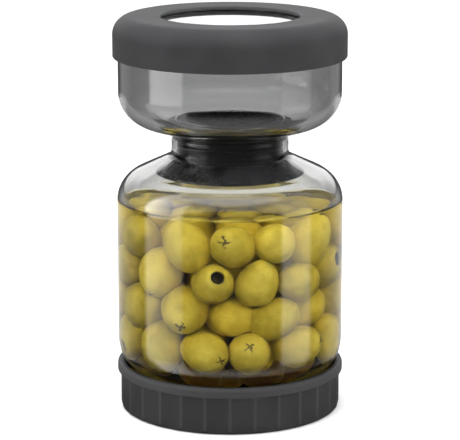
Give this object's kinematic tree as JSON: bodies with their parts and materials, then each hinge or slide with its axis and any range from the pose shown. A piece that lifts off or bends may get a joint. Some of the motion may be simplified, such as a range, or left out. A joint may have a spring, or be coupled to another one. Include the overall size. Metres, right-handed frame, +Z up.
{
  "type": "pickle jar with strainer",
  "caption": "Hourglass flip jar of glass on a fluted screw lid, with a strainer plug in its neck and a soft boot on its closed end, for keeping pickles in brine and draining them.",
  "frame": {"origin": "middle of the lid's flat underside, on the surface that the jar stands on", "axes": "+Z up along the jar's axis, from the lid towards the boot; X and Y are across the jar"},
  "size_m": [0.1028, 0.1028, 0.1758],
  "materials": {
    "glass": "clear moulded glass, faintly smoky in the brine chamber",
    "boot_silicone": "matte dark grey silicone",
    "strainer_plastic": "glossy black moulded plastic",
    "seal_silicone": "satin black silicone",
    "lid_plastic": "matte dark grey moulded plastic"
  },
  "bodies": {
    "lid": {"lid_shell": "lid_plastic", "lid_liner": "lid_plastic"},
    "gasket": {"rim_gasket": "seal_silicone"},
    "jar": {"glass_body": "glass"},
    "boot": {"base_boot": "boot_silicone"},
    "strainer": {"strainer_funnel": "strainer_plastic", "strainer_screen": "strainer_plastic", "neck_seal": "seal_silicone"}
  },
  "joints": [
    {"name": "jar_turn", "type": "hinge", "parent": "lid", "child": "gasket", "pos_m": [0, 0, 0], "axis": [0, 0, 1], "range_deg": [0, 540]},
    {"name": "jar_lift", "type": "slide", "parent": "gasket", "child": "jar", "axis": [0, 0, 1], "range_m": [0, 0.0211]},
    {"name": "boot_pull", "type": "slide", "parent": "jar", "child": "boot", "axis": [0, 0, 1], "range_m": [0, 0.02]},
    {"name": "strainer_pull", "type": "slide", "parent": "jar", "child": "strainer", "axis": [0, 0, -1], "range_m": [0, 0.012]}
  ],
  "couplings": [
    {"joint": "jar_lift", "follows": "jar_turn", "m_per_rad": 0.0022282}
  ]
}
